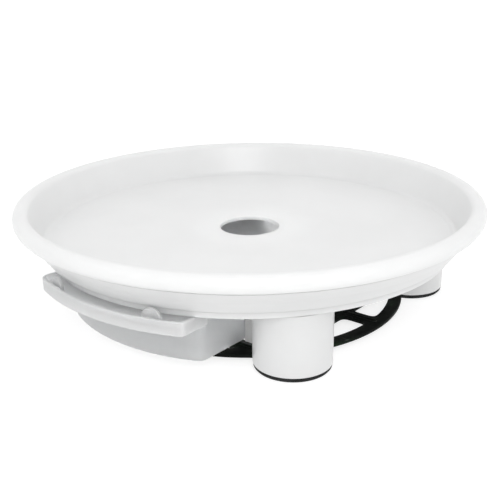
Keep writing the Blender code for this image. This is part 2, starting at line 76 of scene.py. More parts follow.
ROLL_RADIUS = 0.007
ROLL_START = 157.8          # degrees round the roll where the inner wall meets it
ROLL_END = -76.0
ROLL_Z = RIM_TOP - ROLL_RADIUS
TRAY_WALL = 0.0026
FLOOR_Z = 0.0635
FLOOR_RADIUS = 0.176
FLOOR_FILLET = 0.0055
DRAIN_RADIUS = 0.0257

DECK_BOTTOM = 0.0546
DECK_TOP = 0.0572
DECK_HOLE = 0.050
BAND_RADIUS = 0.1739
STOP_RIB = {"inner": 0.041, "outer": 0.062, "front": -0.0373, "back": -0.0345, "low": 0.0445}
STOP_RIB_CORNER = 0.0009

LEG_RADIUS = (LEG_HIGH.x - LEG_LOW.x) / 2
LEG_WALL = 0.0028
PAD_RADIUS = (PAD_HIGH.x - PAD_LOW.x) / 2
BOLT_HEAD_RADIUS = 0.0065

RING_OUTER = 0.1343
RING_INNER = 0.1232
BAR_WIDTH = 0.014
SPOKE_WIDTH = 0.0135
CROSS_BARS_Y = (-0.0940, 0.0979)
SIDE_BAR_X = 0.0938
SIDE_SPOKE_Y = 0.0047
LUG_RADIUS = 0.0258
PLATE_TOP = 0.0054
WINDOW_FILLET = 0.0030
PLAN_HALF = 0.176           # half width of the square in which the frame's plan is traced

DRAWER_SIDE = 0.0704        # half width of the drawer without its flanges
DRAWER_FRONT = -DRAWER_LOW.y
DRAWER_CORNER = 0.009
DRAWER_WALL = 0.0022
DRAWER_FLOOR = 0.0024
DRAWER_FOOT = 0.0032        # rounding between the drawer's walls and its underside
FLANGE_FRONT_Y = -0.092
FLANGE_BACK_Y = DRAWER_HIGH.y - DRAWER_CORNER - 0.0006
FLANGE_THICKNESS = 0.0022

HANDLE_RADIUS = 0.1866
HANDLE_HALF_WIDTH = 0.0743
HANDLE_CORNER = 0.0065
HANDLE_WALL = 0.0028
HANDLE_TURN = 1.25          # degrees that the handle sits to the right of the drawer's middle
HANDLE_FLOOR_TOP = 0.0485
HANDLE_BACK_TOP = 0.0518
HANDLE_STEP_RADIUS = 0.177
HOOK_RADIUS = 0.153
HOOK_HALF_ANGLE = 20.3
HOOK_LOW = 0.0440
HOOK_HIGH = 0.0496
HOOK_OVERLAP = 0.0012       # how far the hook reaches into the handle's rear wall
TAB_RADIUS = 0.0077
TAB_THICKNESS = 0.0028
TAB_CENTRE_Z = 0.0524
TAB_ANGLE = 15.75

CAMERA_AZIMUTH = 39.4
CAMERA_ELEVATION = 16.57
CAMERA_DISTANCE = 0.74024   # from the middle of the rolled rim
CAMERA_TILT = -3.36         # degrees below the line to that middle
CAMERA_ROLL = -0.76
CAMERA_LENS = 61.2          # millimetres, on a sensor 36 mm wide

STAGE_DROP = 0.0003         # the stage's floor lies this far under the feet
STAGE_TONE = 0.35
STAGE_GLOW = 0.76
KEY_POWER = 3.6             # watts
KEY_SIZE = (0.35, 0.7)
UNDER_GLOW_POWER = 0.20     # watts; a light under the drawer that is no part of the object
UNDER_GLOW_SIZE = (0.12, 0.22)


# ---------------------------------------------------------------- outlines and paths
def arc(centre, radius, start, end, count):
    """Points of an arc; angles in degrees, counted from the first axis."""
    points = []
    for index in range(count + 1):
        angle = math.radians(start + (end - start) * index / count)
        points.append((centre[0] + radius * math.cos(angle), centre[1] + radius * math.sin(angle)))
    return points


def rounded(corners, count=6, closed=False):
    """A path through (x, y, radius) corners, each rounded with its own radius."""
    path = []
    total = len(corners)
    for index, (x, y, radius) in enumerate(corners):
        here = Vector((x, y))
        if radius == 0.0 or (not closed and index in (0, total - 1)):
            path.append((x, y))
            continue
        back = (Vector(corners[index - 1][:2]) - here).normalized()
        ahead = (Vector(corners[(index + 1) % total][:2]) - here).normalized()
        half = back.angle(ahead) / 2
        centre = here + (back + ahead).normalized() * (radius / math.sin(half))
        start = here + back * (radius / math.tan(half)) - centre
        end = here + ahead * (radius / math.tan(half)) - centre
        first = math.atan2(start.y, start.x)
        sweep = (math.atan2(end.y, end.x) - first + math.pi) % math.tau - math.pi
        for step in range(count + 1):
            angle = first + sweep * step / count
            path.append((centre.x + radius * math.cos(angle), centre.y + radius * math.sin(angle)))
    return path


def left_normals(points, closed=True):
    """Mitred normals to the left of a path, in the plane."""
    normals = []
    last = len(points) - 1
    for index, point in enumerate(points):
        here = Vector(point)
        before = Vector(points[index - 1]) if closed or index > 0 else None
        after = Vector(points[(index + 1) % len(points)]) if closed or index < last else None
        into = (here - before).normalized() if before is not None else (after - here).normalized()
        out = (after - here).normalized() if after is not None else into
        tangent = (into + out).normalized()
        normal = Vector((-tangent.y, tangent.x))
        stretch = 1.0 / max(normal.dot(Vector((-into.y, into.x))), 0.4)
        normals.append(normal * stretch)
    return normals


def moved_left(points, distance):
    """An open path moved to its left by a distance."""
    normals = left_normals(points, closed=False)
    return [tuple(Vector(point) + normal * distance) for point, normal in zip(points, normals)]


def bow_front(radius, half_width, corner, count, corner_count=8):
    """Left to right along a front that bows towards -Y, with rounded corners to straight sides."""
    across = half_width - corner
    centre_y = -math.sqrt((radius - corner) ** 2 - across ** 2)
    lean = math.degrees(math.atan2(centre_y, across))
    points = arc((-across, centre_y), corner, 180.0, 180.0 - lean, corner_count)[:-1]
    points += arc((0.0, 0.0), radius, -180.0 - lean, lean, count)
    points += arc((across, centre_y), corner, lean, 0.0, corner_count)[1:]
    return points


def edge_rows(low, high, radius, count=4):
    """Rows of (inset, height) up the side of a plate whose two edges are rounded."""
    rows = []
    for inset, height in arc((radius, low + radius), radius, 270.0, 180.0, count):
        rows.append((inset, height))
    for inset, height in arc((radius, high - radius), radius, 180.0, 90.0, count):
        rows.append((inset, height))
    return rows


# ---------------------------------------------------------------- meshes
def bridge(bm, rings):
    """Faces between each ring of vertices and the next."""
    count = len(rings[0])
    for lower, upper in zip(rings, rings[1:]):
        for index in range(count):
            following = (index + 1) % count
            bm.faces.new((lower[index], lower[following], upper[following], upper[index]))


def cap_ends(bm, rings):
    """One face over the first ring and one over the last."""
    bm.faces.new(rings[0])
    bm.faces.new(rings[-1])


def skin(bm, loops, rows, frame_axes=None):
    """A closed solid: each loop, with its material on the left, is carried up through rows of
    (inset, height) and capped at both ends. A height may be a function of the point."""
    first, last = [], []
    for loop in loops:
        normals = left_normals(loop)
        rings = []
        for inset, height in rows:
            ring = []
            for point, normal in zip(loop, normals):
                x, y = Vector(point) + normal * inset
                z = height(point) if callable(height) else height
                place = Vector((x, y, z))
                ring.append(bm.verts.new(frame_axes @ place if frame_axes else place))
            rings.append(ring)
        bridge(bm, rings)
        first.append(rings[0])
        last.append(rings[-1])
    for end in (first, last):
        edges = []
        for ring in end:
            for index, vertex in enumerate(ring):
                edges.append(bm.edges.get((vertex, ring[(index + 1) % len(ring)])))
        bmesh.ops.triangle_fill(bm, use_beauty=True, edges=edges)


def turn(bm, profile, steps, centre=(0.0, 0.0)):
    """A closed (radius, height) profile turned round the vertical axis through centre."""
    rings = []
    for radius, height in profile:
        ring = []
        for step in range(steps):
            angle = math.tau * step / steps
            ring.append(bm.verts.new((centre[0] + radius * math.cos(angle),
                                      centre[1] + radius * math.sin(angle), height)))
        rings.append(ring)
    bridge(bm, rings + rings[:1])


def finish_mesh(bm, name, smooth_angle):
    """Turns the mesh into an object, smooth except where faces meet at more than the angle."""
    bmesh.ops.recalc_face_normals(bm, faces=bm.faces)
    mesh = bpy.data.meshes.new(name)
    bm.to_mesh(mesh)
    bm.free()
    mesh.shade_smooth()
    mesh.set_sharp_from_angle(angle=math.radians(smooth_angle))
    obj = bpy.data.objects.new(name, mesh)
    bpy.context.scene.collection.objects.link(obj)
    return obj


def place(obj, body, material, slot, *nodes):
    """Gives a piece its material and its body and hides the CAD nodes it stands for; the finish slot is
    not used.
    """
    obj.data.materials.clear()
    obj.data.materials.append(material)
    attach(obj, body)
    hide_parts(*nodes)
    return obj


# ---------------------------------------------------------------- materials
class Shader:
    """Short forms for building one procedural material."""

    MIX_COLOURS = (6, 7)    # the colour sockets of a Mix node, which share their names with others
    MIX_RESULT = 2

    def __init__(self, name):
        self.material = bpy.data.materials.new(name)
        self.material.use_nodes = True
        self.tree = self.material.node_tree
        self.surface = self.tree.nodes["Principled BSDF"]
        self.coords = self.tree.nodes.new("ShaderNodeTexCoord").outputs["Object"]

    def link(self, source, target):
        """Joins two sockets."""
        self.tree.links.new(source, target)

    def scaled(self, scale):
        """Object coordinates stretched by a scale on each axis."""
        mapping = self.tree.nodes.new("ShaderNodeMapping")
        mapping.inputs["Scale"].default_value = scale
        self.link(self.coords, mapping.inputs["Vector"])
        return mapping.outputs["Vector"]

    def noise(self, scale, detail=2.0, roughness=0.5, vector=None):
        """Soft noise from 0 to 1."""
        node = self.tree.nodes.new("ShaderNodeTexNoise")
        node.inputs["Scale"].default_value = scale
        node.inputs["Detail"].default_value = detail
        node.inputs["Roughness"].default_value = roughness
        self.link(vector or self.coords, node.inputs["Vector"])
        return node.outputs["Fac"]

    def cells(self, scale):
        """Distance to the nearest of many scattered points."""
        node = self.tree.nodes.new("ShaderNodeTexVoronoi")
        node.inputs["Scale"].default_value = scale
        self.link(self.coords, node.inputs["Vector"])
        return node.outputs["Distance"]

    def ramp(self, value, low, high, first, second):
        """Maps value from low..high to first..second."""
        node = self.tree.nodes.new("ShaderNodeMapRange")
        node.inputs["From Min"].default_value = low
        node.inputs["From Max"].default_value = high
        node.inputs["To Min"].default_value = first
        node.inputs["To Max"].default_value = second
        self.link(value, node.inputs["Value"])
        return node.outputs["Result"]

    def mix(self, factor, first, second):
        """A colour between two, each given as a tuple or a socket."""
        node = self.tree.nodes.new("ShaderNodeMix")
        node.data_type = "RGBA"
        self.link(factor, node.inputs["Factor"])
        for socket, colour in zip(self.MIX_COLOURS, (first, second)):
            target = node.inputs[socket]
            if isinstance(colour, tuple):
                target.default_value = (*colour, 1.0)
            else:
                self.link(colour, target)
        return node.outputs[self.MIX_RESULT]

    def plus(self, first, second):
        """Sum of two values."""
        node = self.tree.nodes.new("ShaderNodeMath")
        node.operation = "ADD"
        self.link(first, node.inputs[0])
        self.link(second, node.inputs[1])
        return node.outputs[0]

    def edges(self, low, high):
        """0 on flat faces, 1 on worn convex edges."""
        geometry = self.tree.nodes.new("ShaderNodeNewGeometry")
        return self.ramp(geometry.outputs["Pointiness"], low, high, 0.0, 1.0)

    def bump(self, height, strength, distance, under=None):
        """Normals of a height, on top of another bump if given."""
        node = self.tree.nodes.new("ShaderNodeBump")
        node.inputs["Strength"].default_value = strength
        node.inputs["Distance"].default_value = distance
        self.link(height, node.inputs["Height"])
        if under is not None:
            self.link(under, node.inputs["Normal"])
        return node.outputs["Normal"]

    def set(self, **values):
        """Sets or links the surface's inputs and gives the material."""
        for name, value in values.items():
            socket = self.surface.inputs[name.replace("_", " ")]
            if isinstance(value, bpy.types.NodeSocket):
                self.link(value, socket)
            else:
                socket.default_value = value
        return self.material


def white_plastic(name, tone_level):
    """Satin white moulding: faint mottling, long shallow waves, fine grain and a few scuffs."""
    shader = Shader(name)
    mottle = shader.ramp(shader.noise(14.0, 4.0, 0.55), 0.35, 0.65, 0.0, 1.0)
    low_tone = (tone_level - 0.013, tone_level - 0.010, tone_level - 0.010)
    high_tone = (tone_level + 0.010, tone_level + 0.013, tone_level + 0.013)
    tone = shader.mix(mottle, low_tone, high_tone)
    specks = shader.ramp(shader.noise(420.0, 3.0), 0.60, 0.80, 0.0, 0.12)
    colour = shader.mix(specks, tone, (tone_level - 0.06, tone_level - 0.065, tone_level - 0.08))
    bright = (tone_level + 0.05, tone_level + 0.05, tone_level + 0.045)
    worn = shader.mix(shader.edges(0.53, 0.60), colour, bright)
    scuffs = shader.noise(1.0, 3.0, 0.6, shader.scaled((14.0, 160.0, 40.0)))
    gloss = shader.plus(shader.ramp(shader.noise(40.0, 3.0), 0.3, 0.7, 0.300, 0.322),
                        shader.ramp(scuffs, 0.50, 0.90, 0.0, 0.012))
    waves = shader.bump(shader.noise(11.0, 1.0), 0.10, 0.0010)
    grain = shader.bump(shader.noise(1500.0, 2.0), 0.03, 0.00006, waves)
    return shader.set(Base_Color=worn, Roughness=gloss, Normal=grain, IOR=1.49, Subsurface_Weight=0.6,
                      Subsurface_Radius=(1.0, 1.0, 1.0), Subsurface_Scale=0.005)


def frosted_plastic(name, tone_level, clearness):
    """Natural polypropylene: cloudy, partly see-through, with flow marks and a fine etched grain."""
    shader = Shader(name)
    cloud = shader.ramp(shader.noise(22.0, 4.0, 0.6), 0.3, 0.7, 0.0, 1.0)
    thin = (tone_level - 0.02, tone_level - 0.01, tone_level)
    thick = (tone_level + 0.02, tone_level + 0.03, tone_level + 0.035)
    colour = shader.mix(cloud, thin, thick)
    worn = shader.mix(shader.edges(0.53, 0.62), colour, (0.96, 0.965, 0.97))
    flow = shader.noise(1.0, 2.0, 0.5, shader.scaled((18.0, 18.0, 130.0)))
    gloss = shader.ramp(flow, 0.3, 0.7, 0.40, 0.50)
    waves = shader.bump(flow, 0.10, 0.0006)
    grain = shader.bump(shader.noise(2200.0, 2.0), 0.08, 0.00010, waves)
    return shader.set(Base_Color=worn, Roughness=gloss, Normal=grain, IOR=1.49,
                      Transmission_Weight=clearness, Subsurface_Weight=1.0,
                      Subsurface_Radius=(1.0, 1.0, 1.0), Subsurface_Scale=0.012)


def black_plastic():
    """Black moulding with a leathery grain and a little grey-green dust."""
    shader = Shader("grained_black_moulding")
    dust = shader.ramp(shader.noise(60.0, 5.0, 0.65), 0.48, 0.74, 0.0, 1.0)
    colour = shader.mix(dust, (0.003, 0.004, 0.0033), (0.012, 0.024, 0.012))
    worn = shader.mix(shader.edges(0.54, 0.64), colour, (0.05, 0.055, 0.05))
    gloss = shader.ramp(shader.noise(90.0, 3.0), 0.3, 0.7, 0.42, 0.58)
    grain = shader.bump(shader.cells(1300.0), 0.30, 0.00015)
    return shader.set(Base_Color=worn, Roughness=gloss, Normal=grain, IOR=1.49, Specular_IOR_Level=0.06)


def grey_rubber():
    """Matt rubber with a dusty bloom."""
    shader = Shader("matt_rubber")
    bloom = shader.ramp(shader.noise(160.0, 4.0, 0.6), 0.35, 0.75, 0.0, 1.0)
    colour = shader.mix(bloom, (0.012, 0.0125, 0.0125), (0.026, 0.027, 0.0275))
    gloss = shader.ramp(shader.noise(220.0, 2.0), 0.3, 0.7, 0.62, 0.80)
    grain = shader.bump(shader.noise(1800.0, 3.0), 0.25, 0.00012)
    return shader.set(Base_Color=colour, Roughness=gloss, Normal=grain, IOR=1.52, Specular_IOR_Level=0.12)


def zinc_steel():
    """Zinc plated steel with a soft cloudy passivation."""
    shader = Shader("zinc_plated_steel")
    cloud = shader.ramp(shader.noise(260.0, 3.0), 0.3, 0.7, 0.0, 1.0)
    colour = shader.mix(cloud, (0.52, 0.53, 0.54), (0.66, 0.66, 0.64))
    gloss = shader.ramp(shader.noise(500.0, 2.0), 0.3, 0.7, 0.24, 0.42)
    marks = shader.bump(shader.noise(1.0, 2.0, 0.5, shader.scaled((300.0, 300.0, 2600.0))), 0.15, 0.00006)
    return shader.set(Base_Color=colour, Roughness=gloss, Normal=marks, Metallic=1.0)


TRAY_WHITE = white_plastic("satin_white_tray", 0.72)
WHITE = white_plastic("satin_white_base", 0.64)
# The runners' white is darker than the base's: painted shade for where they sit under the tray.
RUNNER_WHITE_PAINTED_SHADE = white_plastic("satin_white_runner_painted_shade", 0.58)
FROSTED = frosted_plastic("frosted_drawer", 0.86, 0.60)
# The grip's frosted plastic is lighter and cloudier than the drawer's: painted light for its brightly lit
# lip and gutter.
FROSTED_GRIP_PAINTED_LIGHT = frosted_plastic("frosted_grip_painted_light", 0.92, 0.50)
BLACK = black_plastic()
RUBBER = grey_rubber()
ZINC = zinc_steel()


# ---------------------------------------------------------------- tray and base
def tray_top():
    """Upper face of the tray: drain edge, floor, wall foot, wall and rolled rim."""
    centre = (RIM_RADIUS - ROLL_RADIUS, ROLL_Z)
    roll = arc(centre, ROLL_RADIUS, ROLL_START, ROLL_END, 44)
    corners = [(DRAIN_RADIUS, LIP_BOTTOM + 0.0004, 0.0), (DRAIN_RADIUS, FLOOR_Z, 0.0009),
               (FLOOR_RADIUS, FLOOR_Z, FLOOR_FILLET), (*roll[0], 0.0)]
    return rounded(corners, 9)[:-1] + roll


def make_tray():
    """The tray: one sheet of even thickness from the drain to the end of the roll."""
    path = tray_top()
    under = moved_left(path, -TRAY_WALL)
    bm = bmesh.new()
    turn(bm, path + under[::-1], FINE_STEPS)
    tray = finish_mesh(bm, "moulded_tray", 50.0)
    return place(tray, "stand", TRAY_WHITE, "white_plastic", "tray")


def base_section():
    """Skirt, step, lower band and deck as one closed section."""
    outside = [(0.1943, 0.0794, 0.0004), (0.1853, 0.0692, 0.020), (0.1784, 0.0597, 0.0008),
               (0.1752, 0.0587, 0.0010), (0.1744, 0.0572, 0.0012), (BAND_RADIUS, 0.0526, 0.0010),
               (0.1715, 0.0526, 0.0006)]
    deck = [(0.1714, DECK_BOTTOM, 0.0008), (DECK_HOLE, DECK_BOTTOM, 0.0006),
            (DECK_HOLE, DECK_TOP, 0.0006), (0.1728, DECK_TOP, 0.0004)]
    inside = [(0.1746, 0.0603, 0.0010), (0.1793, 0.0636, 0.0010), (0.1824, 0.0692, 0.0100),
              (0.1914, 0.0794, 0.0004)]
    return rounded(outside + deck + inside, 7, closed=True)


def make_base():
    """The base shell, with the two ribs under its deck that stop the drawer."""
    bm = bmesh.new()
    turn(bm, base_section(), FINE_STEPS)
    for sign in (-1, 1):
        ends = sorted((sign * STOP_RIB["inner"], sign * STOP_RIB["outer"]))
        front, back = STOP_RIB["front"], STOP_RIB["back"]
        corners = [(ends[0], front), (ends[1], front), (ends[1], back), (ends[0], back)]
        rib = rounded([(x, y, STOP_RIB_CORNER) for x, y in corners], 4, closed=True)
        skin(bm, [rib], edge_rows(STOP_RIB["low"], DECK_BOTTOM + 0.0015, 0.0005))
    base = finish_mesh(bm, "moulded_base", 50.0)
    return place(base, "stand", WHITE, "white_plastic", "base_shell")


# ---------------------------------------------------------------- base frame
def smooth_union(first, second, reach):
    """Two distance fields joined with a fillet about as wide as reach."""
    share = np.clip(0.5 + 0.5 * (second - first) / reach, 0.0, 1.0)
    return second * (1 - share) + first * share - reach * share * (1 - share)


def bar_field(x, y, low, high):
    """Distance to a rectangle given by two opposite corners."""
    across = np.abs(x - (low[0] + high[0]) / 2) - (high[0] - low[0]) / 2
    along = np.abs(y - (low[1] + high[1]) / 2) - (high[1] - low[1]) / 2
    outside = np.hypot(np.maximum(across, 0.0), np.maximum(along, 0.0))
    return outside + np.minimum(np.maximum(across, along), 0.0)


def frame_bars(bar, spoke):
    """Corners of the frame's bars and spokes, for the widths given."""
    reach = (RING_INNER + RING_OUTER) / 2
    side = LEGS["front_right"].x
    front = LEGS["front_right"].y
    back = LEGS["rear_right"].y
    bars = []
    for y in CROSS_BARS_Y:
        bars.append(((-side, y - bar / 2), (side, y + bar / 2)))
        ends = sorted((y, math.copysign(reach, y)))
        bars.append(((-spoke / 2, ends[0]), (spoke / 2, ends[1])))
    for sign in (-1, 1):
        x = sign * SIDE_BAR_X
        bars.append(((x - bar / 2, front), (x + bar / 2, back)))
        ends = sorted((x, sign * reach))
        bars.append(((ends[0], SIDE_SPOKE_Y - spoke / 2), (ends[1], SIDE_SPOKE_Y + spoke / 2)))
    return bars


def plan_field(x, y, bar, spoke, ring_half, lug, fillet):
    """Distance field of the frame's plan: ring, bars, spokes and lugs, with fillets between them."""
    ring_middle = (RING_INNER + RING_OUTER) / 2
    field = np.abs(np.hypot(x, y) - ring_middle) - ring_half
    for low, high in frame_bars(bar, spoke):
        field = smooth_union(field, bar_field(x, y, low, high), fillet)
    if lug > 0.0:
        for leg in LEGS.values():
            field = smooth_union(field, np.hypot(x - leg.x, y - leg.y) - lug, fillet)
    return field


def contour_loops(field, axis):
    """Closed outlines where the field is zero, with the inside on their left."""
    inside = field < 0.0
    ahead = {}
    points = {}

    def crossing(first, second):
        """Key of the grid edge between two corners, after noting where the outline crosses it."""
        key = (first, second) if first < second else (second, first)
        if key not in points:
            a = field[key[0]]
            b = field[key[1]]
            share = a / (a - b)
            start = (axis[key[0][0]], axis[key[0][1]])
            end = (axis[key[1][0]], axis[key[1][1]])
            points[key] = tuple(s + (e - s) * share for s, e in zip(start, end))
        return key

    mixed = inside[:-1, :-1].astype(int) + inside[1:, :-1] + inside[:-1, 1:] + inside[1:, 1:]
    for i, j in np.argwhere((mixed > 0) & (mixed < 4)):
        i, j = int(i), int(j)
        corners = [(i, j), (i + 1, j), (i + 1, j + 1), (i, j + 1)]
        leaving, entering = [], []
        for index, corner in enumerate(corners):
            following = corners[(index + 1) % 4]
            if inside[corner] and not inside[following]:
                leaving.append(crossing(corner, following))
            elif inside[following] and not inside[corner]:
                entering.append(crossing(corner, following))
        for start, end in zip(leaving, entering):
            ahead[start] = end
    loops = []
    while ahead:
        start, key = ahead.popitem()
        loop = [points[start]]
        while key != start:
            loop.append(points[key])
            key = ahead.pop(key)
        loops.append(loop)
    return loops


def even_loop(loop, spacing, passes=6):
    """The same outline with evenly spaced points, lightly smoothed."""
    points = np.array(loop + loop[:1])
    steps = np.hypot(*np.diff(points, axis=0).T)
    along = np.concatenate([[0.0], np.cumsum(steps)])
    count = max(int(along[-1] / spacing), 12)
    places = np.linspace(0.0, along[-1], count, endpoint=False)
    even = np.column_stack([np.interp(places, along, points[:, 0]),
                            np.interp(places, along, points[:, 1])])
    for _ in range(passes):
        even = 0.5 * even + 0.25 * (np.roll(even, 1, axis=0) + np.roll(even, -1, axis=0))
    return [tuple(map(float, point)) for point in even]


def frame_outlines(bar, spoke, ring_half, lug, fillet, grid=0.001, spacing=0.0015, shortest=0.02):
    """Outlines of the frame's plan: its outside and each of its windows."""
    axis = np.arange(-PLAN_HALF, PLAN_HALF + grid / 2, grid)
    x, y = np.meshgrid(axis, axis, indexing="ij")
    field = plan_field(x, y, bar, spoke, ring_half, lug, fillet)
    field = np.where(field == 0.0, 1e-9, field)
    loops = [even_loop(loop, spacing) for loop in contour_loops(field, axis)]
    return [loop for loop in loops if len(loop) * spacing > shortest]


def make_frame():
    """The black base frame: a flat plate with rounded edges and a low ridge along its bars."""
    bm = bmesh.new()
    plate = frame_outlines(BAR_WIDTH, SPOKE_WIDTH, (RING_OUTER - RING_INNER) / 2, LUG_RADIUS,
                           WINDOW_FILLET)
    skin(bm, plate, edge_rows(FRAME_LOW.z + 0.0001, PLATE_TOP, 0.0007))
    ridge_half = 0.0017
    no_ring = -0.001        # less than no width: the ridge leaves the ring out
    ridge = frame_outlines(2 * ridge_half, 2 * ridge_half, no_ring, 0.0, 0.004)
    top = FRAME_HIGH.z
    rows = [(0.0, PLATE_TOP - 0.0004), (0.0, top - 0.0007), (0.0003, top - 0.0003),
            (0.0007, top - 0.0001), (0.0011, top)]
    skin(bm, ridge, rows)
    obj = finish_mesh(bm, "moulded_frame", 42.0)
    return place(obj, "stand", BLACK, "black_plastic", "base_frame")


# ---------------------------------------------------------------- legs, pads and bolts
def leg_section():
    """Half section of a leg: a cup open below, with a spigot on top and a boss round its bolt."""
    shoulder = LEG_HIGH.z - 0.0020
    spigot = 0.027
    boss = 0.0056
    bolt = 0.0028
    roof = LEG_HIGH.z - LEG_WALL
    corners = [(LEG_RADIUS - 0.0003, LEG_LOW.z, 0.0006), (LEG_RADIUS, shoulder, 0.0007),
               (spigot, shoulder, 0.0), (spigot, LEG_HIGH.z, 0.0004), (bolt, LEG_HIGH.z, 0.0),
               (bolt, 0.0060, 0.0), (boss, 0.0060, 0.0004), (boss, roof, 0.0010),
               (LEG_RADIUS - LEG_WALL, roof - 0.0020, 0.0030),
               (LEG_RADIUS - LEG_WALL, LEG_LOW.z, 0.0004)]
    return rounded(corners, 5, closed=True)


def pad_section():
    """Half section of a foot pad: a dish with a hole for the bolt's head."""
    inner = 0.0265
    hole = 0.008
    floor = 0.0020
    corners = [(PAD_RADIUS, PAD_HIGH.z, 0.0004), (inner, PAD_HIGH.z, 0.0003), (inner, floor, 0.0004),
               (hole, floor, 0.0004), (hole, PAD_LOW.z, 0.0004), (PAD_RADIUS - 0.0012, PAD_LOW.z, 0.0006),
               (PAD_RADIUS, 0.0014, 0.0009)]
    return rounded(corners, 5, closed=True)


def ring_points(radius, count, sides=0):
    """Points of a circle, or of a regular outline with that many sides, all at count places."""
    points = []
    for index in range(count):
        angle = math.tau * index / count
        reach = radius
        if sides:
            half = math.pi / sides
            reach = radius * math.cos(half) / math.cos(angle % (2 * half) - half)
        points.append((reach * math.cos(angle), reach * math.sin(angle)))
    return points


def make_bolt(corner):
    """Round-headed bolt with a hexagonal socket, its head down in the foot pad."""
    low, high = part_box("leg_bolt_" + corner)
    centre = LEGS[corner]
    shank = 0.0025
    head_top = low.z + 0.0016
    rows = [(0.0019, low.z + 0.0012, 6), (0.0026, low.z + 0.0011, 6), (0.0027, low.z + 0.0001, 6),
            (0.0031, low.z, 0), (BOLT_HEAD_RADIUS - 0.0010, low.z, 0),
            (BOLT_HEAD_RADIUS - 0.0003, low.z + 0.0003, 0), (BOLT_HEAD_RADIUS, low.z + 0.0008, 0),
            (BOLT_HEAD_RADIUS, head_top, 0), (shank, head_top, 0), (shank, high.z - 0.0005, 0),
            (shank - 0.0005, high.z, 0)]
    bm = bmesh.new()
    rings = []
    for radius, height, sides in rows:
        rings.append([bm.verts.new((centre.x + x, centre.y + y, height))
                      for x, y in ring_points(radius, BOLT_STEPS, sides)])
    bridge(bm, rings)
    cap_ends(bm, rings)
    bolt = finish_mesh(bm, "socket_bolt_" + corner, 35.0)
    return place(bolt, "stand", ZINC, "zinc_steel", "leg_bolt_" + corner)


def make_feet():
    """Leg, pad and bolt at each corner."""
    for corner in CORNERS:
        centre = (LEGS[corner].x, LEGS[corner].y)
        bm = bmesh.new()
        turn(bm, leg_section(), LEG_STEPS, centre)
        leg = finish_mesh(bm, "moulded_leg_" + corner, 50.0)
        place(leg, "stand", WHITE, "white_plastic", "leg_" + corner)
        bm = bmesh.new()
        turn(bm, pad_section(), LEG_STEPS, centre)
        pad = finish_mesh(bm, "rubber_pad_" + corner, 50.0)
        place(pad, "stand", RUBBER, "grey_rubber", "foot_pad_" + corner)
        make_bolt(corner)


# ---------------------------------------------------------------- drawer
def drawer_plan():
    """Plan of the drawer, anticlockwise, with the points where its side flanges start and end."""
    back = DRAWER_HIGH.y
    corner = DRAWER_CORNER
    side = DRAWER_SIDE
    step = 0.0003
    stops = [FLANGE_FRONT_Y - step, FLANGE_FRONT_Y, FLANGE_BACK_Y, FLANGE_BACK_Y + step]
    points = bow_front(DRAWER_FRONT, side, corner, 72)
    points += [(side, y) for y in stops]
    points += arc((side - corner, back - corner), corner, 0.0, 90.0, 8)
    points += arc((corner - side, back - corner), corner, 90.0, 180.0, 8)
    points += [(-side, y) for y in stops[::-1]]
    return points


def drawer_rows():
    """(inset, height, flange) rows from the middle of the underside, over the rim, to the floor."""
    low = DRAWER_LOW.z
    top = DRAWER_HIGH.z
    rows = [(inset, height, False) for inset, height in
            arc((DRAWER_FOOT, low + DRAWER_FOOT), DRAWER_FOOT, 270.0, 180.0, 7)]
    flange = top - FLANGE_THICKNESS
    rows += [(0.0, flange - 0.0001, False), (0.0, flange, True), (0.0, top - 0.0004, True),
             (0.0003, top, True), (0.0003, top, False), (DRAWER_WALL - 0.0006, top, False),
             (DRAWER_WALL, top - 0.0006, False)]
    inner = 0.0035
    floor = low + DRAWER_FLOOR
    rows += [(inset, height, False) for inset, height in
             arc((DRAWER_WALL + inner, floor + inner), inner, 180.0, 270.0, 5)]
    return rows


def make_drawer():
    """The drawer's open tub, with a flange along each side that rides in its runner."""
    plan = drawer_plan()
    normals = left_normals(plan)
    reach = DRAWER_HIGH.x - DRAWER_SIDE
    near = 1e-6
    bm = bmesh.new()
    rings = []
    for inset, height, flange in drawer_rows():
        ring = []
        for point, normal in zip(plan, normals):
            x, y = Vector(point) + normal * inset
            on_flange = FLANGE_FRONT_Y - near <= point[1] <= FLANGE_BACK_Y + near
            if flange and on_flange and abs(point[0]) > DRAWER_SIDE - near:
                x += math.copysign(reach, x)
            ring.append(bm.verts.new((x, y, height)))
        rings.append(ring)
    bridge(bm, rings)
    cap_ends(bm, rings)
    drawer = finish_mesh(bm, "moulded_drawer", 40.0)
    return place(drawer, "drawer", FROSTED, "frosted_plastic", "drawer_body")


def turned_by(degrees):
    """A turn round the vertical axis."""
    return Matrix.Rotation(math.radians(degrees), 3, "Z")


def handle_plan(inner):
    """Plan of the handle, anticlockwise: bowed front, rounded corners, concave back."""
    angle = math.degrees(math.asin(HANDLE_HALF_WIDTH / inner))
    back_corner = 0.0032
    back = arc((0.0, 0.0), inner, -90.0 + angle, -90.0 - angle, 72)
    side_y = back[0][1]
    plan = bow_front(HANDLE_RADIUS, HANDLE_HALF_WIDTH, HANDLE_CORNER, 84)
    right = rounded([(HANDLE_HALF_WIDTH, side_y - 0.010, 0.0), (*back[0], back_corner),
                     (*back[4], 0.0)], 6)
    left = [(-x, y) for x, y in right[::-1]]
    return plan + right[1:-1] + back[4:-4] + left[1:-1]


def handle_top(point):
    """Height of the handle's upper edge: lower along the back than round the front."""
    radius = math.hypot(*point)
    share = min(max((radius - HANDLE_STEP_RADIUS + 0.0008) / 0.0016, 0.0), 1.0)
    smooth = share * share * (3 - 2 * share)
    return HANDLE_BACK_TOP + (HANDLE_HIGH.z - HANDLE_BACK_TOP) * smooth


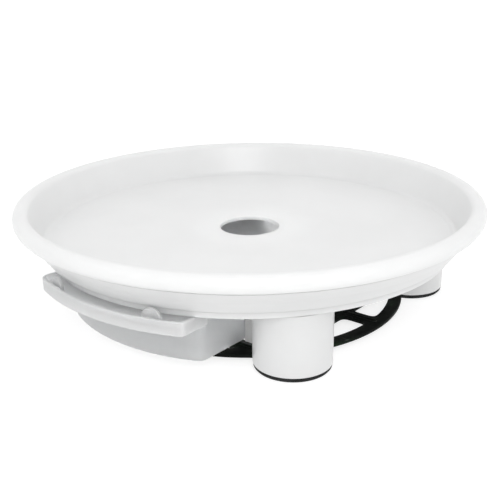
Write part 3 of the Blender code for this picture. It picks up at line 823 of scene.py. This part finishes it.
def make_handle():
    """Gutter-shaped grip: walls round a shallow trough, with a hook over the drawer's front."""
    bm = bmesh.new()
    low = HANDLE_LOW.z
    foot = 0.0012
    rim = 0.0009
    rows = arc((foot, low + foot), foot, 270.0, 180.0, 4)
    for inset, drop in arc((rim, -rim), rim, 180.0, 90.0, 4):
        rows.append((inset, lambda point, drop=drop: handle_top(point) + drop))
    for inset, drop in arc((HANDLE_WALL - rim, -rim), rim, 90.0, 0.0, 4):
        rows.append((inset, lambda point, drop=drop: handle_top(point) + drop))
    fillet = 0.0012
    rows += arc((HANDLE_WALL + fillet, HANDLE_FLOOR_TOP + fillet), fillet, 180.0, 270.0, 4)
    slot = DRAWER_FRONT + 0.0003
    axes = turned_by(HANDLE_TURN)
    skin(bm, [handle_plan(slot)], rows, axes)
    hook_inner = DRAWER_FRONT - DRAWER_WALL - 0.0003
    over_rim = DRAWER_HIGH.z + 0.0004
    section = rounded([(HOOK_RADIUS, HOOK_LOW, 0.0008), (hook_inner, HOOK_LOW, 0.0008),
                       (hook_inner, over_rim, 0.0003), (slot + HOOK_OVERLAP, over_rim, 0.0),
                       (slot + HOOK_OVERLAP, HOOK_HIGH, 0.0), (HOOK_RADIUS, HOOK_HIGH, 0.0014)],
                      4, closed=True)
    count = 60
    rings = []
    for index in range(count + 1):
        angle = math.radians(-90.0 - HOOK_HALF_ANGLE + 2 * HOOK_HALF_ANGLE * index / count)
        rings.append([bm.verts.new(axes @ Vector((radius * math.cos(angle), radius * math.sin(angle), z)))
                      for radius, z in section])
    bridge(bm, rings)
    cap_ends(bm, rings)
    handle = finish_mesh(bm, "moulded_handle", 40.0)
    return place(handle, "drawer", FROSTED_GRIP_PAINTED_LIGHT, "frosted_plastic", "drawer_handle")


def make_tab(side, sign):
    """Half-round tab with a raised border, standing in the gutter against its outer wall."""
    foot = HANDLE_FLOOR_TOP + 0.0003
    outline = [(-x, z) for x, z in arc((0.0, TAB_CENTRE_Z), TAB_RADIUS, 0.0, 180.0, 28)]
    outline += [(TAB_RADIUS, foot), (-TAB_RADIUS, foot)]
    outline = outline[::-1]
    front = HANDLE_RADIUS - HANDLE_WALL - 0.0005
    back = front - TAB_THICKNESS
    border = 0.0013
    rows = [(border + 0.0003, back + 0.0004), (border, back + 0.0003), (border - 0.0003, back),
            (0.0005, back), (0.0, back + 0.0005), (0.0, front - 0.0005), (0.0005, front),
            (border - 0.0003, front), (border, front - 0.0003), (border + 0.0003, front - 0.0004)]
    stand_up = Matrix(((1.0, 0.0, 0.0), (0.0, 0.0, -1.0), (0.0, 1.0, 0.0)))
    bm = bmesh.new()
    skin(bm, [outline], rows, turned_by(HANDLE_TURN + sign * TAB_ANGLE) @ stand_up)
    tab = finish_mesh(bm, "moulded_tab_" + side, 35.0)
    return place(tab, "drawer", FROSTED_GRIP_PAINTED_LIGHT, "frosted_plastic", "handle_tab_" + side)


# ---------------------------------------------------------------- kept CAD nodes
def finish_cad_nodes():
    """Runners, screws and nuts keep their CAD shape, with softened edges; the runners get a white
    darkened as painted shade, the screws and nuts zinc.
    """
    kept = {"runner_left": (RUNNER_WHITE_PAINTED_SHADE, 0.0004), "runner_right": (RUNNER_WHITE_PAINTED_SHADE, 0.0004)}
    for corner in CORNERS:
        kept["runner_screw_" + corner] = (ZINC, 0.0002)
        kept["leg_nut_" + corner] = (ZINC, 0.0003)
    for name, (material, width) in kept.items():
        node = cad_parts[name]
        node.data.materials.clear()
        node.data.materials.append(material)
        soften = node.modifiers.new("soft_edges", "BEVEL")
        soften.width = width
        soften.segments = 2
        soften.limit_method = "ANGLE"
        soften.angle_limit = math.radians(40.0)


# ---------------------------------------------------------------- stage, light and camera
def make_stage():
    """A pale floor that gives off some light of its own."""
    mesh = bpy.data.meshes.new("floor")
    bm = bmesh.new()
    bmesh.ops.create_grid(bm, x_segments=1, y_segments=1, size=6.0)
    bm.to_mesh(mesh)
    bm.free()
    floor = bpy.data.objects.new("floor", mesh)
    bpy.context.scene.collection.objects.link(floor)
    floor.location.z = -STAGE_DROP
    material = bpy.data.materials.new("pale_floor")
    material.use_nodes = True
    surface = material.node_tree.nodes["Principled BSDF"]
    surface.inputs["Base Color"].default_value = (STAGE_TONE, STAGE_TONE, STAGE_TONE, 1.0)
    surface.inputs["Roughness"].default_value = 0.9
    surface.inputs["Specular IOR Level"].default_value = 0.0
    surface.inputs["Emission Color"].default_value = (1.0, 1.0, 1.0, 1.0)
    surface.inputs["Emission Strength"].default_value = STAGE_GLOW
    mesh.materials.append(material)


def add_area(name, place_at, target, size, energy):
    """A rectangular light that faces its target."""
    light = bpy.data.lights.new(name, "AREA")
    light.shape = "RECTANGLE"
    light.size, light.size_y = size
    light.energy = energy
    obj = bpy.data.objects.new(name, light)
    bpy.context.scene.collection.objects.link(obj)
    obj.location = place_at
    direction = Vector(place_at) - Vector(target)
    obj.rotation_euler = direction.to_track_quat("Z", "Y").to_euler()


def around(azimuth, elevation, distance):
    """A place seen from the tray: azimuth 0 is in front of the drawer, and grows to the right."""
    a = math.radians(azimuth)
    e = math.radians(elevation)
    return Vector((math.sin(a) * math.cos(e), -math.cos(a) * math.cos(e), math.sin(e))) * distance


def make_lights():
    """White surroundings, a key light near the camera and a faint light under the drawer."""
    world = bpy.data.worlds.new("studio")
    world.use_nodes = True
    background = world.node_tree.nodes["Background"]
    background.inputs["Color"].default_value = (1.0, 1.0, 1.0, 1.0)
    background.inputs["Strength"].default_value = 1.0
    bpy.context.scene.world = world
    add_area("under_glow", (0.0, -0.01, 0.001), (0.0, -0.01, 0.1), UNDER_GLOW_SIZE, UNDER_GLOW_POWER)
    tray_middle = (0.0, 0.0, 0.06)
    add_area("front_box", around(CAMERA_AZIMUTH + 3.0, 38.0, 1.1), tray_middle, KEY_SIZE, KEY_POWER)


def make_camera():
    """The camera, aimed from the middle of the rolled rim, then tilted and rolled."""
    target = Vector((0.0, 0.0, ROLL_Z))
    position = around(CAMERA_AZIMUTH, CAMERA_ELEVATION, CAMERA_DISTANCE)
    ahead = -position.normalized()
    right = ahead.cross(Vector((0.0, 0.0, 1.0))).normalized()
    up = right.cross(ahead)
    tilt = math.radians(CAMERA_TILT)
    view = ahead * math.cos(tilt) + up * math.sin(tilt)
    raised = up * math.cos(tilt) - ahead * math.sin(tilt)
    roll = math.radians(CAMERA_ROLL)
    across = right * math.cos(roll) + raised * math.sin(roll)
    upright = raised * math.cos(roll) - right * math.sin(roll)
    data = bpy.data.cameras.new("camera")
    data.lens = CAMERA_LENS
    data.sensor_width = 36.0
    data.clip_start = 0.01
    data.clip_end = 50.0
    camera = bpy.data.objects.new("camera", data)
    bpy.context.scene.collection.objects.link(camera)
    rotation = Matrix((across, upright, -view)).transposed()
    camera.matrix_world = Matrix.Translation(target + position) @ rotation.to_4x4()
    bpy.context.scene.camera = camera


make_camera()
make_lights()
make_stage()
make_tray()
make_base()
make_frame()
make_feet()
make_drawer()
make_handle()
make_tab("left", -1)
make_tab("right", 1)
finish_cad_nodes()
bpy.context.scene.view_settings.view_transform = "Standard"
